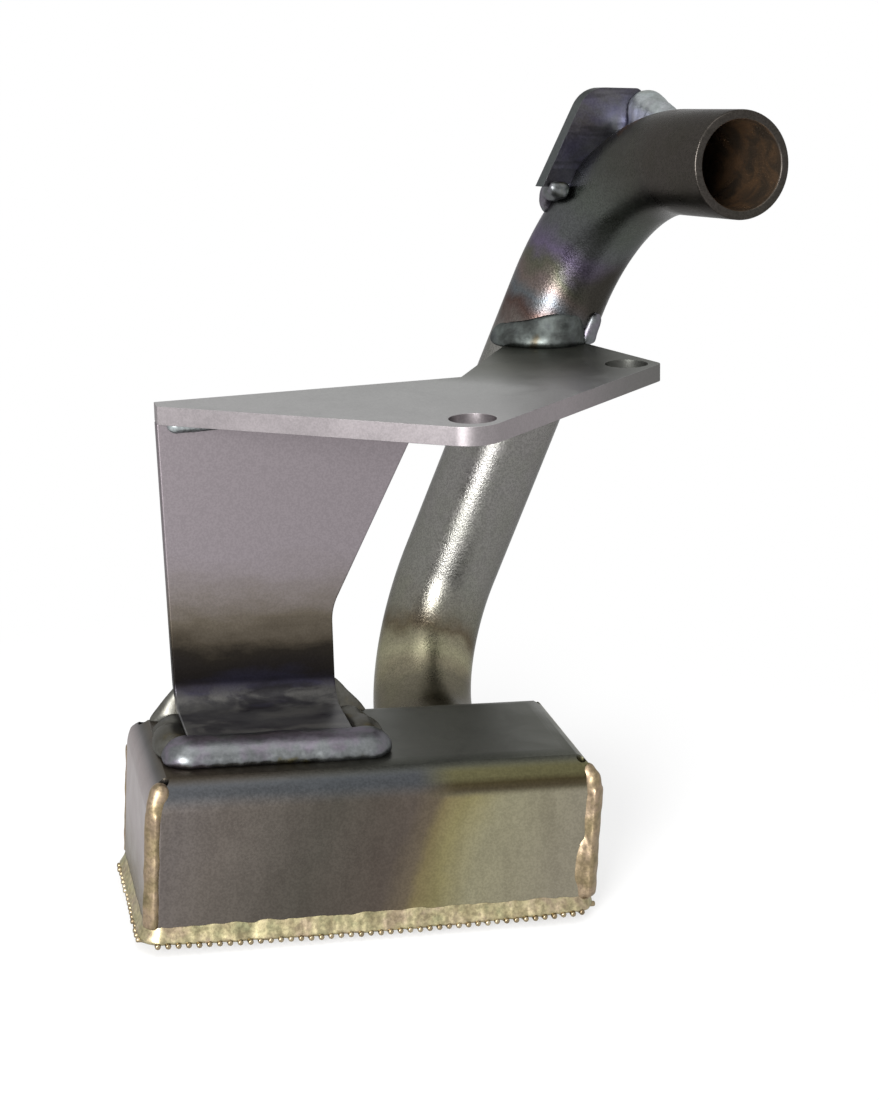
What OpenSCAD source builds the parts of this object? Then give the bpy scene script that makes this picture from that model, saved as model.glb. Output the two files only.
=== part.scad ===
// Welded oil pickup: a folded sheet box with a wire screen across its open bottom, a bent suction tube
// out of the box's rear wall, a folded support web that carries a flat mounting plate, and a drive tab
// on the tube's upper bend. The origin is midway between the two bolt holes on the plate's top face, +Z up
// and the front towards -Y. The pieces are laid out from the centre of the box's open bottom.

/* [Pickup box] */
// Length of the box, left to right
box_l = 77; // [70:0.5:90]
// Depth of the box, front to back
box_d = 33; // [31:0.5:40]
// Height of the box from its open bottom to its top
box_h = 27.4; // [26:0.2:32]
// Thickness of the box's sheet
box_sheet = 1.6; // [1.2:0.1:2]
// Outside radius of the box's folded top edges
box_bend_r = 5.5; // [4:0.25:6]
// Outside radius of the box's rounded upright corners
box_corner_r = 3; // [2.5:0.25:4]
// Diameter of the relief hole left at each folded top corner
relief_d = 1.8; // [1:0.1:2.4]

/* [Screen] */
// How far the wire ends stand out past the box's walls
screen_overhang = 1.1; // [0.8:0.1:1.6]
// Thickness of the woven screen, two crossing wires
screen_t = 1.2; // [0.8:0.1:1.6]
// Distance between neighbouring wire ends along the edges
wire_pitch = 1.7; // [1.5:0.05:2.2]
// Openings along the screen's length
screen_cols = 16; // [10:1:17]
// Openings across the screen's depth
screen_rows = 7; // [4:1:7]
// Width of the braze fillet that holds the screen
braze_w = 0.9; // [0.6:0.1:1]
// Height of the braze fillet up the walls
braze_h = 1.7; // [1.2:0.1:2]

/* [Pickup tube] */
// Outside diameter of the tube
tube_od = 19.05; // [18:0.05:19.5]
// Wall thickness of the tube
tube_wall = 1.65; // [1:0.05:2.2]
// Edge broken off the rim of the tube's open end
rim_break = 0.4; // [0.1:0.1:0.6]
// Radius of the lower bend at the tube's centre line
tube_bend_r = 26.8; // [24:0.2:28]
// Radius of the upper bend at the tube's centre line
upper_bend_r = 34.4; // [32:0.2:36]
// How far the tube reaches inside the box past its rear wall
tube_inside = 1; // [0:0.5:4]
// Position of the lower bend's corner to the right of the box's centre
low_corner_x = 20.2; // [16:0.1:22]
// Position of the lower bend's corner behind the box's rear wall
low_corner_back = 39.4; // [38:0.1:44]
// Height of the tube's axis where it leaves the box
low_corner_z = 13.6; // [13:0.1:14]
// Position of the upper bend's corner to the right of the box's centre
high_corner_x = 55.7; // [53:0.1:58]
// Position of the upper bend's corner behind the box's rear wall
high_corner_back = 32.2; // [31:0.1:34]
// Height of the upper bend's corner
high_corner_z = 122.9; // [119:0.1:126]
// Length from the upper bend's corner to the open end
end_run = 47.8; // [44:0.1:56]
// Swing of the open end to the right of straight ahead, in degrees
end_yaw = 9.2; // [4:0.1:14]
// Upward slope of the open end, in degrees
end_rise = 5.6; // [3:0.1:9]

/* [Mounting plate] */
// Thickness of the mounting plate
plate_t = 3.2; // [2.5:0.1:4]
// Height of the plate's top face above the origin
plate_z = 86.2; // [84:0.2:89]
// Rise of the plate towards its right end, in degrees
plate_roll = 3.5; // [2:0.1:5]
// Fall of the plate towards its back edge, in degrees
plate_pitch = 1.55; // [0:0.05:3]
// Diameter of the two bolt holes
bolt_hole_d = 7.9; // [6.6:0.1:9]
// Distance between the two bolt holes
bolt_spacing = 52.8; // [48:0.1:56]
// Distance from the bolt holes to the plate's front right edge
bolt_edge = 5.6; // [5.4:0.1:7]
// Turn of the row of bolt holes away from the box's length, in degrees
bolt_turn = 43.03; // [40:0.01:46]
// Position of the bolt row's middle to the right of the box's centre
bolt_mid_x = 31.78; // [30:0.01:34]
// Position of the bolt row's middle behind the box's centre
bolt_mid_y = 1.74; // [0:0.01:4]
// Metal left along the edge between the front bolt hole's centre and the front corner
front_margin = 5.6; // [5.2:0.1:8]
// Metal left along the edge between the right bolt hole's centre and the right corner
right_margin = 3.4; // [3.2:0.1:6]
// Radius of the plate's front corner
plate_corner_r = 6; // [3:0.5:8]
// Distance from the box's left end to the plate's narrow apex
apex_in = 3.3; // [2:0.1:5]
// Position of the plate's waist, between web and tube, to the right of the box's centre
waist_x = 19.4; // [18:0.1:22]
// Position of the plate's waist behind the web
waist_back = 4.1; // [3:0.1:6]

/* [Support web] */
// Thickness of the web's folded sheet
web_t = 3.2; // [2.5:0.1:4]
// Inside radius of the fold between web and foot
web_fold_r = 4; // [3:0.25:5]
// Distance from the box's rear wall forward to the web's rear face
web_inset = 3; // [2:0.25:5]
// Width of the foot where it lies on the box
foot_w = 28.2; // [26:0.2:32]
// Distance from the box's left end to the foot
foot_left = 8.1; // [6:0.1:9]
// Distance from the box's front to the foot's front edge
foot_front = 11; // [10:0.25:13]
// Height of the kink in the web's right edge
kink_z = 47; // [43:0.5:52]
// Position of the web's top right corner to the right of the box's centre
web_top_right = 14; // [12:0.2:17]

/* [Drive tab] */
// Thickness of the drive tab
tab_t = 3.2; // [2.5:0.1:4]
// Height of the tab above the middle of the tube's bend
tab_h = 19.3; // [18:0.1:22]
// Reach of the tab's lower corner to the left of the tube's axis
tab_reach = 15.4; // [14:0.2:17]
// Reach of the tab's top corner to the left of the tube's axis
tab_top_reach = 6.2; // [5:0.2:8]
// Reach of the tab to the right of the tube's axis
tab_right_reach = 7.4; // [6.6:0.2:8.6]
// Radius of the tab's rounded corner
tab_corner_r = 6; // [3:0.5:8]

/* [Welds] */
// Radius of the large bead along the foot's front edge
foot_bead_r = 4.5; // [3.5:0.1:5]
// Radius of the beads along the foot's sides
side_bead_r = 3.4; // [2.5:0.1:4]
// Width of the braze seam down each of the box's corners
seam_w = 2.6; // [2:0.1:2.8]
// How far the seams stand out from the corners
seam_proud = 0.9; // [0.6:0.1:1.2]
// Leg of the fillet that seals the tube to the box
tube_fillet = 2.1; // [1.5:0.1:2.2]
// Radius of the large bead between tube and plate at its thick end
tube_bead_r = 5.6; // [4.5:0.1:6]
// Radius of the short stitch between tube and plate
stitch_r = 2; // [1.6:0.1:2.2]
// Radius of the large bead between tab and tube
tab_bead_r = 3.8; // [3.2:0.1:4.2]

/* [Hidden] */
$fn = 64;
CLEAR = 200;
ARC_STEPS = 8;
BEND_THIN = 0.035;
BEND_LAP = 0.3;
HAIR = 0.2;

// Colours of the bare metal, its heat tint and its fillers
STEEL = [0.50, 0.50, 0.47];
DARK_STEEL = [0.30, 0.31, 0.27];
SHEET_STEEL = [0.40, 0.38, 0.35];
MAUVE_STEEL = [0.55, 0.50, 0.52];
BRAZE = [0.76, 0.64, 0.40];
SILVER_WELD = [0.58, 0.62, 0.62];

// Each upright corner's arc is centred corner_in from both walls and meets them with a slight break
corner_in = box_corner_r * cos(12);
seam_top = box_h - box_bend_r;

// Corner points of the tube's centre line, from inside the box to the open end
rear_y = box_d / 2;
tube_start = [low_corner_x, rear_y - box_sheet - tube_inside, low_corner_z];
tube_low = [low_corner_x, rear_y + low_corner_back, low_corner_z];
tube_high = [high_corner_x, rear_y + high_corner_back, high_corner_z];
end_dir = [sin(end_yaw) * cos(end_rise), -cos(end_yaw) * cos(end_rise), sin(end_rise)];
tube_end = tube_high + end_run * end_dir;
rise_dir = unit(tube_high - tube_low);

// Plate outline: a kite with its narrow apex over the web's left end, the tube at its back edge, and the
// bolt row along its front right edge
plate_axis = unit(frame_turn([0, 0, 1]));
tube_cross = line_plane(tube_low, rise_dir, [0, 0, plate_z], plate_axis);
apex_x = -box_l / 2 + apex_in;
web_rear_y = rear_y - web_inset;
web_front_y = web_rear_y - web_t;
edge_dir = [cos(bolt_turn), sin(bolt_turn)];
edge_in = [-edge_dir.y, edge_dir.x];
bolt_mid = [bolt_mid_x, bolt_mid_y];
front_corner = bolt_mid - (bolt_spacing / 2 + front_margin) * edge_dir - bolt_edge * edge_in;
right_corner = bolt_mid + (bolt_spacing / 2 + right_margin) * edge_dir - bolt_edge * edge_in;
bolt_holes = [bolt_mid - bolt_spacing / 2 * edge_dir, bolt_mid + bolt_spacing / 2 * edge_dir];
datum = on_plate(bolt_mid);

// Web outline, seen from the front
foot_x = -box_l / 2 + foot_left;
foot_right_x = foot_x + foot_w;
foot_front_y = -box_d / 2 + foot_front;
web_top_z = plate_z + plate_t;
web_apex_x = apex_x - web_t / 6;
kink_x = foot_right_x - web_t / 2;

// Middle of the tube's upper bend, and the directions in the drive tab's plane
high_angle = acos(rise_dir * end_dir);
bend_in = unit(end_dir - (end_dir * rise_dir) * rise_dir);
bend_out = unit(bend_in * -cos(high_angle / 2) + rise_dir * sin(high_angle / 2));
high_centre = tube_high - upper_bend_r * tan(high_angle / 2) * rise_dir + upper_bend_r * bend_in;
tab_seat = 0.105 * tube_od;
tab_origin = high_centre + (upper_bend_r + tab_seat) * bend_out;
tab_right = unit(cross(end_dir, [0, 0, -1]));
tab_up = cross(tab_right, end_dir) * -1;

// Vector helpers
function unit(v) = v / norm(v);
function line_plane(p, d, q, n) = p + d * (((q - p) * n) / (d * n));
function frame_turn(v) =
    let (a = [v.x, v.y * cos(-plate_pitch) - v.z * sin(-plate_pitch),
              v.y * sin(-plate_pitch) + v.z * cos(-plate_pitch)])
    [a.x * cos(plate_roll) - a.z * sin(plate_roll), a.y, a.x * sin(plate_roll) + a.z * cos(plate_roll)];
// A point on the plate's top face from its place in the plate's own outline
function on_plate(p, lift = 0) = [0, 0, plate_z] + frame_turn([p.x, p.y, lift]);
// A point in the drive tab's plane, u to the left of the bend, w up, lifted to the front
function on_tab(u, w, lift = 0) = tab_origin - u * tab_right + w * tab_up + lift * end_dir;

// Points of an outline with its corners rounded by arcs; radius 0 keeps a corner sharp
function rounded(pts, radii) = [
    for (i = [0 : len(pts) - 1])
        let (n = len(pts), p = pts[i], r = radii[i],
             a = unit(pts[(i + n - 1) % n] - p), b = unit(pts[(i + 1) % n] - p),
             half = acos(a * b) / 2, t = r / tan(half), c = p + unit(a + b) * r / sin(half),
             from = p + a * t - c, turn = 180 - 2 * half, side = sign(a.x * b.y - a.y * b.x))
        each r == 0 ? [p] : [for (k = [0 : ARC_STEPS])
            let (q = -side * turn * k / ARC_STEPS)
            c + [from.x * cos(q) - from.y * sin(q), from.x * sin(q) + from.y * cos(q)]]
];

// Sets children with their Z axis along d at p
module along(p, d) {
    translate(p) rotate([0, acos(d.z / norm(d)), atan2(d.y, d.x)]) children();
}

// Sets children in a frame given by its origin and three axes
module framed(o, x, y, z) {
    multmatrix([[x.x, y.x, z.x, o.x], [x.y, y.y, z.y, o.y], [x.z, y.z, z.z, o.z], [0, 0, 0, 1]]) children();
}

// Sets children in the mounting plate's frame, with its top face at z = 0
module plate_frame() {
    translate([0, 0, plate_z]) rotate([-plate_pitch, -plate_roll, 0]) children();
}

// A tube's section; an inside radius of 0 leaves it solid
module ring(r_out, r_in) {
    difference() {
        circle(r_out);
        if (r_in > 0) circle(r_in);
    }
}

// A straight length of the tube from one point to another. An end that laps into a bend is tapered by
// BEND_LAP until it is lost in the bend's wall, and a free end has its rim broken.
module straight(from, to, r_out, r_in, lap_start, lap_end) {
    run = norm(to - from);
    sunk = r_out - 2 * BEND_THIN;
    start = lap_start ? [[r_in, 0], [sunk, 0], [r_out, BEND_LAP]] : [[r_in, 0], [r_out, 0]];
    end = lap_end ? [[r_out, run - BEND_LAP], [sunk, run], [r_in, run]]
        : [[r_out, run - rim_break], [r_out - rim_break, run], [r_in, run]];
    along(from, to - from) rotate_extrude() polygon(concat(start, end));
}

// The bend between two directions that meet at a corner, its wall a little thinner than the straights'
module bend(corner, turn_r, d_in, d_out, r_out, r_in) {
    angle = acos(d_in * d_out);
    inward = unit(d_out - (d_out * d_in) * d_in);
    start = corner - turn_r * tan(angle / 2) * d_in;
    framed(start + turn_r * inward, -inward, d_in, cross(-inward, d_in))
        rotate_extrude(angle = angle) translate([turn_r, 0])
            ring(r_out - BEND_THIN, r_in > 0 ? r_in + BEND_THIN : 0);
}

// The tube's whole run: each straight reaches BEND_LAP into the bends beside it
module tube_sweep(r_out, r_in) {
    back = [0, 1, 0];
    low_t = tube_bend_r * tan(acos(back * rise_dir) / 2) - BEND_LAP;
    high_t = upper_bend_r * tan(high_angle / 2) - BEND_LAP;
    straight(tube_start, tube_low - low_t * back, r_out, r_in, false, true);
    bend(tube_low, tube_bend_r, back, rise_dir, r_out, r_in);
    straight(tube_low + low_t * rise_dir, tube_high - high_t * rise_dir, r_out, r_in, true, true);
    bend(tube_high, upper_bend_r, rise_dir, end_dir, r_out, r_in);
    straight(tube_high + high_t * end_dir, tube_end, r_out, r_in, true, false);
}

// The tube's full outside, used to fit its neighbours to it
module tube_envelope() {
    tube_sweep(tube_od / 2, 0);
}

// Section of a folded box: straight sides and two rounded top corners
module arch(w, h, r) {
    translate([-w / 2, 0]) square([w, h - r]);
    translate([-w / 2 + r, 0]) square([w - 2 * r, h]);
    for (side = [-1, 1]) translate([side * (w / 2 - r), h - r]) circle(r);
}

// A block with four rounded top edges, mitred at its corners
module folded_block(l, d, h, r) {
    intersection() {
        rotate([90, 0, 0]) linear_extrude(d, center = true) arch(l, h, r);
        rotate([90, 0, 90]) linear_extrude(l, center = true) arch(d, h, r);
    }
}

// Sets children at one upright corner's centre, with X out along its diagonal
module at_corner(sx, sy) {
    translate([sx * (box_l / 2 - corner_in), sy * (box_d / 2 - corner_in), 0])
        rotate(atan2(sy, sx)) children();
}

// What is cut off the four upright corners to round them
module corner_waste(r) {
    for (sx = [-1, 1], sy = [-1, 1]) at_corner(sx, sy)
        linear_extrude(3 * box_h, center = true) difference() {
            rotate(-45) square(2 * r);
            circle(r);
        }
}

module box_envelope() {
    difference() {
        folded_block(box_l, box_d, box_h, box_bend_r);
        corner_waste(box_corner_r);
    }
}

// Section of the seam in one corner's wall, or of the slot for it
module seam_section(r_out, r_in) {
    intersection() {
        ring(r_out, r_in);
        translate([0, -seam_w / 2]) square([2 * r_out, seam_w]);
    }
}

// A bead laid as overlapping puddles from one point to another, growing from r0 to r1
module weld_run(from, to, r0, r1) {
    run = norm(to - from);
    count = max(1, round(run / (0.6 * max(r0, r1))));
    along(from, to - from) rotate_extrude() intersection() {
        for (i = [0 : count]) translate([0, run * i / count]) circle(r0 + (r1 - r0) * i / count);
        translate([0, -run]) square(3 * run + 2 * max(r0, r1));
    }
}

// Everything below the mounting plate's top face, or below any other plane in its frame
module below_plate(lift) {
    plate_frame() translate([-CLEAR, -CLEAR, lift - CLEAR]) cube([2 * CLEAR, 2 * CLEAR, CLEAR]);
}

module above_plate(lift) {
    plate_frame() translate([-CLEAR, -CLEAR, lift]) cube([2 * CLEAR, 2 * CLEAR, CLEAR]);
}

module pickup_box() {
    color(SHEET_STEEL) difference() {
        box_envelope();
        difference() {
            translate([0, 0, -1])
                folded_block(box_l - 2 * box_sheet, box_d - 2 * box_sheet, box_h - box_sheet + 1,
                             box_bend_r - box_sheet);
            corner_waste(box_corner_r - box_sheet);
        }
        for (sx = [-1, 1], sy = [-1, 1]) at_corner(sx, sy) translate([0, 0, braze_h])
            linear_extrude(seam_top - braze_h)
                seam_section(box_corner_r + box_sheet, box_corner_r - 1.5 * box_sheet);
        translate([low_corner_x, rear_y - 2 * box_bend_r, low_corner_z])
            rotate([-90, 0, 0]) cylinder(d = tube_od, h = 4 * box_bend_r);
        for (sx = [-1, 1], sy = [-1, 1])
            translate([sx * (box_l / 2 - box_bend_r / 2), sy * (box_d / 2 - box_bend_r / 2), box_h / 2])
                cylinder(d = relief_d, h = box_h);
    }
}

// Outline of one edge's wire ends, centred on its run
function comb(run, off) =
    let (n = floor(run / wire_pitch), w = wire_pitch * 0.45)
    [for (i = [0 : n - 1])
        let (x = (i - (n - 1) / 2) * wire_pitch)
        each [[x - w / 2, off], [x - w / 2, off - screen_overhang],
              [x + w / 2, off - screen_overhang], [x + w / 2, off]]];
function turned(pts, a) = [for (p = pts) [p.x * cos(a) - p.y * sin(a), p.x * sin(a) + p.y * cos(a)]];

module screen() {
    col = (box_l - 6) / screen_cols;
    row = (box_d - 6) / screen_rows;
    long_edge = comb(box_l - 1, -box_d / 2);
    short_edge = comb(box_d - 1, -box_l / 2);
    color(BRAZE) translate([0, 0, -screen_t]) linear_extrude(screen_t) difference() {
        polygon(concat(long_edge, turned(short_edge, 90), turned(long_edge, 180), turned(short_edge, 270)));
        for (i = [0 : screen_cols - 1], j = [0 : screen_rows - 1])
            translate([(i - (screen_cols - 1) / 2) * col, (j - (screen_rows - 1) / 2) * row])
                square([col - 1, row - 1], center = true);
    }
}

// Fillet section bar along one wall's foot
module braze_bar(run, off) {
    translate([-run / 2, -off, 0]) rotate([90, 0, 90]) linear_extrude(run)
        polygon([[1, 0], [-braze_w, 0], [0, braze_h], [1, braze_h]]);
}

module braze_body() {
    for (a = [0, 180]) rotate(a) braze_bar(box_l - 2 * corner_in, box_d / 2);
    for (a = [90, 270]) rotate(a) braze_bar(box_d - 2 * corner_in, box_l / 2);
    for (sx = [-1, 1], sy = [-1, 1]) at_corner(sx, sy)
        cylinder(r1 = corner_in + 0.88 * braze_w, r2 = box_corner_r + braze_w / 18, h = braze_h);
}

module screen_braze() {
    color(BRAZE) difference() {
        braze_body();
        difference() {
            translate([0, 0, box_h / 4]) cube([box_l, box_d, box_h], center = true);
            corner_waste(box_corner_r);
        }
    }
}

// A seam of braze that fills the slot in one corner's wall; a front seam ends in a puddle on the fold
module corner_weld(sx, sy, proud) {
    puddle = 0.6 * seam_w;
    color(BRAZE) union() {
        at_corner(sx, sy) translate([0, 0, braze_h]) linear_extrude(seam_top - braze_h)
            seam_section(box_corner_r + proud, box_corner_r - box_sheet);
        if (sy < 0) difference() {
            at_corner(sx, sy) translate([box_corner_r - 0.8 * puddle, 0, seam_top]) sphere(puddle);
            box_envelope();
        }
    }
}

module corner_weld_front_left() { corner_weld(-1, -1, 0.7 * seam_proud); }
module corner_weld_front_right() { corner_weld(1, -1, 1.5 * seam_proud); }
module corner_weld_rear_left() { corner_weld(-1, 1, 0.6 * seam_proud); }
module corner_weld_rear_right() { corner_weld(1, 1, 0.6 * seam_proud); }

module pickup_tube() {
    color(DARK_STEEL) tube_sweep(tube_od / 2, tube_od / 2 - tube_wall);
}

module tube_box_weld() {
    color(SILVER_WELD) translate([low_corner_x, rear_y, low_corner_z]) rotate([-90, 0, 0])
        rotate_extrude() translate([tube_od / 2, 0])
            polygon(tube_fillet * [[0, 0], [1, 0], [0.6, 0.5], [0, 1.3]]);
}

module plate_outline() {
    cross_at = [tube_cross.x, tube_cross.y];
    polygon(rounded(
        [[apex_x, web_front_y - web_t / 5], front_corner, right_corner,
         cross_at + tube_od * [0.37, -0.63], cross_at + tube_od * [0.27, -0.315],
         cross_at + tube_od * [-0.47, -0.315], cross_at + tube_od * [-0.71, -0.715],
         [waist_x, web_rear_y + waist_back], [apex_x, web_rear_y]],
        [0, plate_corner_r, plate_corner_r / 3, 0, 0, 0, 0, 0, 0]));
}

module mounting_plate() {
    color(STEEL) difference() {
        plate_frame() translate([0, 0, -plate_t]) linear_extrude(plate_t) plate_outline();
        plate_frame() for (p = bolt_holes)
            translate([p.x, p.y, -2 * plate_t]) cylinder(d = bolt_hole_d, h = 4 * plate_t);
        tube_envelope();
    }
}

// A place on the tube's outside where it stands on the plate, turned from straight ahead
function tube_foot(turn, r) =
    line_plane(tube_cross + r * [sin(turn), -cos(turn), 0], rise_dir, [0, 0, plate_z], plate_axis);

// The main bead across the front of the tube: puddles between two turns that grow to the right
module tube_main_bead() {
    turns = [-62, 3];
    puddles = 6;
    for (i = [0 : puddles])
        let (f = i / puddles, r = tube_bead_r * (0.64 + 0.36 * f))
            translate(tube_foot(turns[0] + (turns[1] - turns[0]) * f, tube_od / 2 - 0.4 * r)) sphere(r);
}

module tube_plate_weld() {
    color(SILVER_WELD) difference() {
        tube_main_bead();
        below_plate(0);
        tube_envelope();
    }
}

// A short stitch up the tube's right side, laid after the main bead
module tube_plate_tack() {
    turn = 41;
    foot = tube_foot(turn, tube_od / 2 - stitch_r / 6);
    color(SILVER_WELD) difference() {
        weld_run(foot + stitch_r / 5 * rise_dir, foot + 2.3 * stitch_r * rise_dir,
                 stitch_r, 0.8 * stitch_r);
        below_plate(0);
        tube_envelope();
        tube_main_bead();
    }
}

// Side view of the web and its foot, with the fold between them
module web_section() {
    turn = web_fold_r + web_t;
    translate([web_front_y, box_h + turn]) square([web_t, web_top_z - box_h - turn]);
    translate([foot_front_y, box_h]) square([web_rear_y - turn - foot_front_y, web_t]);
    intersection() {
        translate([web_rear_y - turn, box_h + turn]) difference() {
            circle(turn);
            circle(web_fold_r);
        }
        translate([web_rear_y - turn, box_h]) square(turn);
    }
}

module web_outline() {
    polygon(rounded(
        [[foot_x, box_h - 1], [foot_right_x, box_h - 1], [kink_x, kink_z], [web_top_right, web_top_z],
         [web_apex_x, web_top_z]],
        [0, 0, 10, 0, 0]));
}

// The web and its foot before the web's top is cut to the plate
module web_envelope() {
    intersection() {
        translate([-box_l / 2, 0, 0]) rotate([90, 0, 90]) linear_extrude(box_l) web_section();
        translate([0, box_d / 2, 0]) rotate([90, 0, 0]) linear_extrude(box_d) web_outline();
    }
}

module support_web() {
    color(MAUVE_STEEL) difference() {
        web_envelope();
        above_plate(-plate_t);
    }
}

// A bead under the plate along one face of the web, its axis set off by a hair from both faces
module under_plate_bead(x0, x1, y, r0, r1) {
    color(SILVER_WELD) difference() {
        weld_run(on_plate([x0, y], -plate_t - HAIR), on_plate([x1, y], -plate_t - HAIR), r0, r1);
        above_plate(-plate_t);
        web_envelope();
    }
}

module web_plate_weld() {
    r = 0.6 * web_t;
    under_plate_bead(foot_x + 2 * web_t, web_top_right - 3 * web_t, web_rear_y + HAIR, r, r);
}

module web_plate_tack() {
    r = 0.45 * web_t;
    under_plate_bead(apex_x + web_t, apex_x + 3 * web_t, web_front_y - HAIR, r, 0.9 * r);
}

module foot_front_run() {
    lip = 0.36 * foot_bead_r;
    y = foot_front_y - lip;
    z = box_h - 0.14 * foot_bead_r;
    weld_run([foot_x - lip / 3, y, z], [foot_right_x + lip, y, z], foot_bead_r, foot_bead_r);
}

module foot_side_run(x) {
    z = box_h - side_bead_r / 8;
    weld_run([x, foot_front_y + side_bead_r / 2, z], [x, web_front_y - side_bead_r, z],
             side_bead_r, side_bead_r * 0.85);
}

module foot_weld_front() {
    color(SILVER_WELD) difference() {
        foot_front_run();
        box_envelope();
        web_envelope();
    }
}

module foot_side_weld(x) {
    color(SILVER_WELD) difference() {
        foot_side_run(x);
        box_envelope();
        web_envelope();
        foot_front_run();
    }
}

module foot_weld_left() { foot_side_weld(foot_x - side_bead_r / 6); }
module foot_weld_right() { foot_side_weld(foot_right_x + side_bead_r / 4); }

module tab_outline() {
    foot = tab_seat / 3;
    slope = tab_right_reach / 3;
    polygon(rounded([[tab_reach, foot], [tab_top_reach, tab_h], [slope - tab_right_reach, tab_h],
                     [-tab_right_reach, tab_h - 2 * slope], [-tab_right_reach, foot]],
                    [0, tab_corner_r, tab_corner_r / 4, 0, 0]));
}

module tab_body() {
    framed(tab_origin, -tab_right, tab_up, -end_dir) linear_extrude(tab_t) tab_outline();
}

module drive_tab() {
    color(DARK_STEEL) difference() {
        tab_body();
        tube_envelope();
    }
}

// Two runs from the tab's right end forward along the tube's top, cut off at the tab's front face
module tab_weld_upper() {
    b = tab_bead_r;
    right = tab_right_reach;
    color(SILVER_WELD) difference() {
        union() {
            weld_run(on_tab(-0.85 * right, tab_h - 1.2 * b, 0),
                     on_tab(-0.55 * right, tab_h - 1.6 * b, 4 * b), 1.1 * b, 0.4 * b);
            weld_run(on_tab(-0.75 * right, tab_h - 2.3 * b, 0),
                     on_tab(-0.6 * right, tab_h - 2.1 * b, 2.4 * b), b, 0.8 * b);
        }
        framed(tab_origin, tab_right, tab_up, end_dir)
            translate([-CLEAR, -CLEAR, -CLEAR]) cube([2 * CLEAR, 2 * CLEAR, CLEAR]);
        tube_envelope();
    }
}

module tab_weld_lower() {
    color(SILVER_WELD) difference() {
        weld_run(on_tab(0.86 * tab_reach, 2 * HAIR, HAIR), on_tab(0.74 * tab_reach, 0, HAIR),
                 stitch_r, 1.15 * stitch_r);
        tab_body();
        tube_envelope();
    }
}

// The whole part, moved so that the mounting datum is the origin
translate(-datum) {
    pickup_box();
    screen();
    screen_braze();
    corner_weld_front_left();
    corner_weld_front_right();
    corner_weld_rear_left();
    corner_weld_rear_right();
    pickup_tube();
    tube_box_weld();
    mounting_plate();
    tube_plate_weld();
    tube_plate_tack();
    support_web();
    web_plate_weld();
    web_plate_tack();
    foot_weld_front();
    foot_weld_left();
    foot_weld_right();
    drive_tab();
    tab_weld_upper();
    tab_weld_lower();
}
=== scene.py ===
"""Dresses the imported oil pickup: bent tube, screened box, folded web, bolt plate, drive tab and their welds."""

import logging
import math
from dataclasses import dataclass
from enum import Enum
from typing import Optional, Sequence, Union

import bmesh
import bpy
from mathutils import Matrix, Vector, noise


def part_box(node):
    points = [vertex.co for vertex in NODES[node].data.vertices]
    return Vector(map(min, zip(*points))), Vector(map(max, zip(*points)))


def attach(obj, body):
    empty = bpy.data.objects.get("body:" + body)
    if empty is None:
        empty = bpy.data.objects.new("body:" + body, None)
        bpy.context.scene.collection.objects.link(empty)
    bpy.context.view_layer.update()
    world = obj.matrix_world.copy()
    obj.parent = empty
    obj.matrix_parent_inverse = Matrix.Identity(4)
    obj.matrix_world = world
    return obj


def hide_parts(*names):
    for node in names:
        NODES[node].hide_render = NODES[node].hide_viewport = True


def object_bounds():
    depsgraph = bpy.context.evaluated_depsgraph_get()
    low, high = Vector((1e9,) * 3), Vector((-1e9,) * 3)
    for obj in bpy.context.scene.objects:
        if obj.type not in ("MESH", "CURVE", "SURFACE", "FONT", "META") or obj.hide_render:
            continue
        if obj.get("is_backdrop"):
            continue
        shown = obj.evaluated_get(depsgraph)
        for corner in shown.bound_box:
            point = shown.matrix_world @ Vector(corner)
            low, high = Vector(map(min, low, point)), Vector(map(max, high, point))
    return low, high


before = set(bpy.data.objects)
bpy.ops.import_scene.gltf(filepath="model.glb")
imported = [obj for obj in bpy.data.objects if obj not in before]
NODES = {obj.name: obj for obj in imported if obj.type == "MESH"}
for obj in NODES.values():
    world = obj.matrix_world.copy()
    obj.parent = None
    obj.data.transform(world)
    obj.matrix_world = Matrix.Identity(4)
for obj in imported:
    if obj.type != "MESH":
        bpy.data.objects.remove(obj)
CAD_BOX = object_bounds()
LOG = logging.getLogger("oil_pickup")
MM = 0.001
BODY = "root"
Colour = tuple[float, float, float]
Socket = bpy.types.NodeSocket
Feed = Union[float, Sequence[float], Socket]


class Slot(Enum):
    """The record's material slots."""

    BOX = "box_sheet"
    SCREEN = "screen_wire"
    BRAZE = "braze"
    TUBE = "tube_steel"
    PLATE = "plate_steel"
    WEB = "web_steel"
    TAB = "tab_steel"
    WELD = "weld_metal"


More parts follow.
